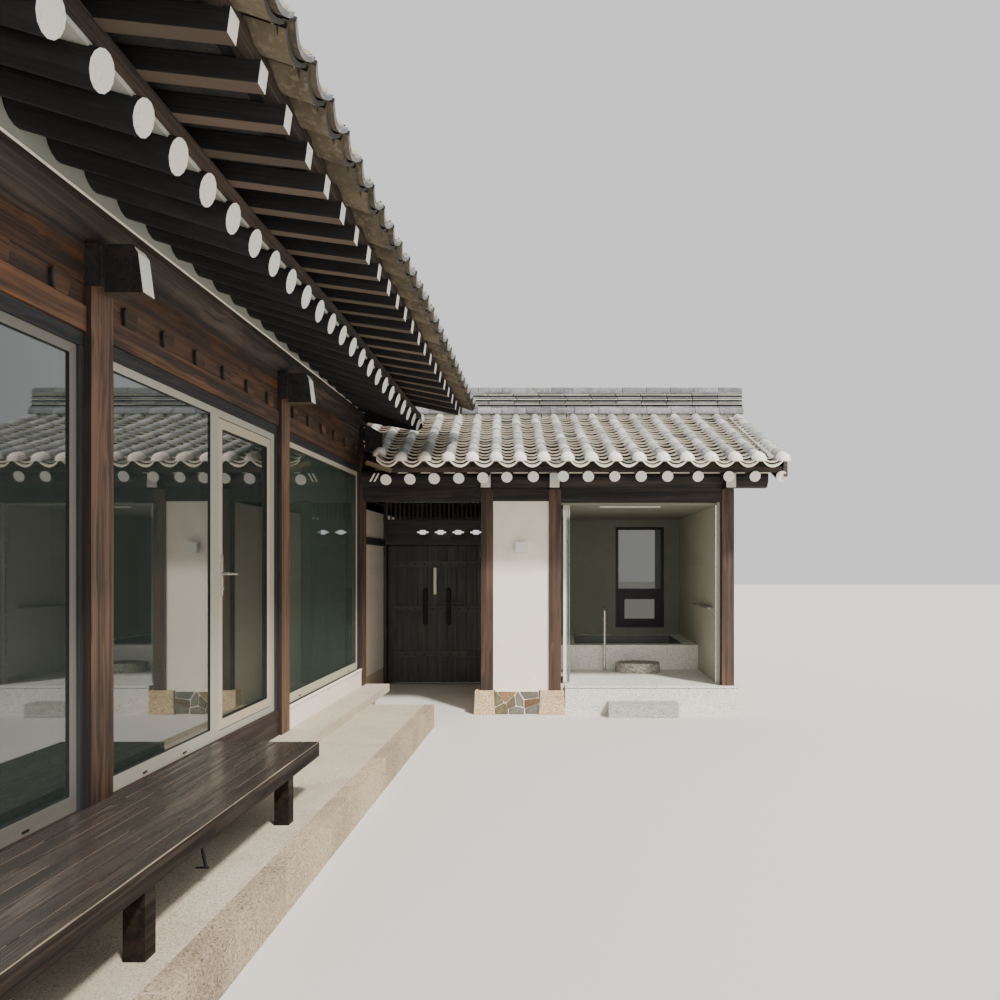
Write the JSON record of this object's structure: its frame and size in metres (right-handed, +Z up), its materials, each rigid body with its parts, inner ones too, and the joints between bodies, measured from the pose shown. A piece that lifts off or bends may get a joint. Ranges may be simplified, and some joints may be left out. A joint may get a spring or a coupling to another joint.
{
  "type": "hanok house",
  "caption": "Korean timber courtyard house: tall wing with glazed front, double eaves and bench, and a low tiled wing with a plank gate, plaster panel and open bath bay.",
  "frame": {"origin": "middle of the roof plan's bounding box, on the ground", "axes": "+Z up, +Y from the tall wing's south gable towards the gate wing, +X from the tall wing towards the court"},
  "size_m": [8.91, 11.88, 4.9],
  "materials": {
    "timber": "oiled, worn",
    "dark_timber": "weathered",
    "granite": "bush-hammered",
    "plaster": "matt lime plaster",
    "bath_plaster": "matt micro-cement",
    "aluminium": "anodised, satin",
    "dark_metal": "black powder coat",
    "steel": "brushed",
    "glass": "clear",
    "roof_tile": "fired clay, weathered"
  },
  "bodies": {
    "house": {"plinth": "granite", "stone_ledge": "granite", "main_floor": "timber", "court_post_1": "timber", "court_post_2": "timber", "court_post_3": "timber", "court_post_4": "timber", "west_frame": "timber", "court_head_1": "timber", "court_head_2": "timber", "court_head_3": "timber", "window_1": "aluminium", "window_2": "aluminium", "window_3": "aluminium", "roof_frame": "timber", "court_purlin": "timber", "west_purlin": "timber", "court_rafters": "timber", "court_flying_rafters": "timber", "west_rafters": "timber", "west_flying_rafters": "timber", "main_roof": "roof_tile", "gable_south": "plaster", "gable_north": "plaster", "south_wall": "plaster", "north_wall": "plaster", "west_wall": "plaster", "bench_deck": "timber", "bench_frame": "timber", "panel_base": "granite", "gate_post_a": "timber", "gate_post_b": "timber", "gate_post_c": "timber", "white_panel": "plaster", "gate_roof_frame": "timber", "gate_front_rafters": "timber", "gate_rear_rafters": "timber", "gate_roof": "roof_tile", "corner_walls": "plaster", "store_walls": "plaster", "bath_back_wall": "bath_plaster", "bath_right_wall": "bath_plaster", "gate_east_gable": "plaster", "gate_west_gable": "plaster", "rear_frame": "timber", "gate_frame": "dark_timber", "bath_platform": "granite", "bath_surround": "granite", "step_stone": "granite", "round_step": "granite", "grab_rail": "steel", "bath_window": "dark_metal", "bath_ceiling": "bath_plaster", "folding_glass": "glass"},
    "terrace_door": {"terrace_door": "aluminium", "door_handle": "steel"},
    "gate_leaf_left": {"gate_leaf_left": "dark_timber"},
    "gate_leaf_right": {"gate_leaf_right": "dark_timber"}
  },
  "joints": [
    {"name": "terrace_door_hinge", "type": "hinge", "parent": "house", "child": "terrace_door", "pos_m": [0.0517, -0.459, 1.5], "axis": [0, 0, -1], "range_deg": [0, 90]},
    {"name": "gate_left_hinge", "type": "hinge", "parent": "house", "child": "gate_leaf_left", "pos_m": [0.002, 4.425, 0.9], "axis": [0, 0, -1], "range_deg": [0, 80]},
    {"name": "gate_right_hinge", "type": "hinge", "parent": "house", "child": "gate_leaf_right", "pos_m": [1.236, 4.425, 0.9], "axis": [0, 0, 1], "range_deg": [0, 80]}
  ]
}
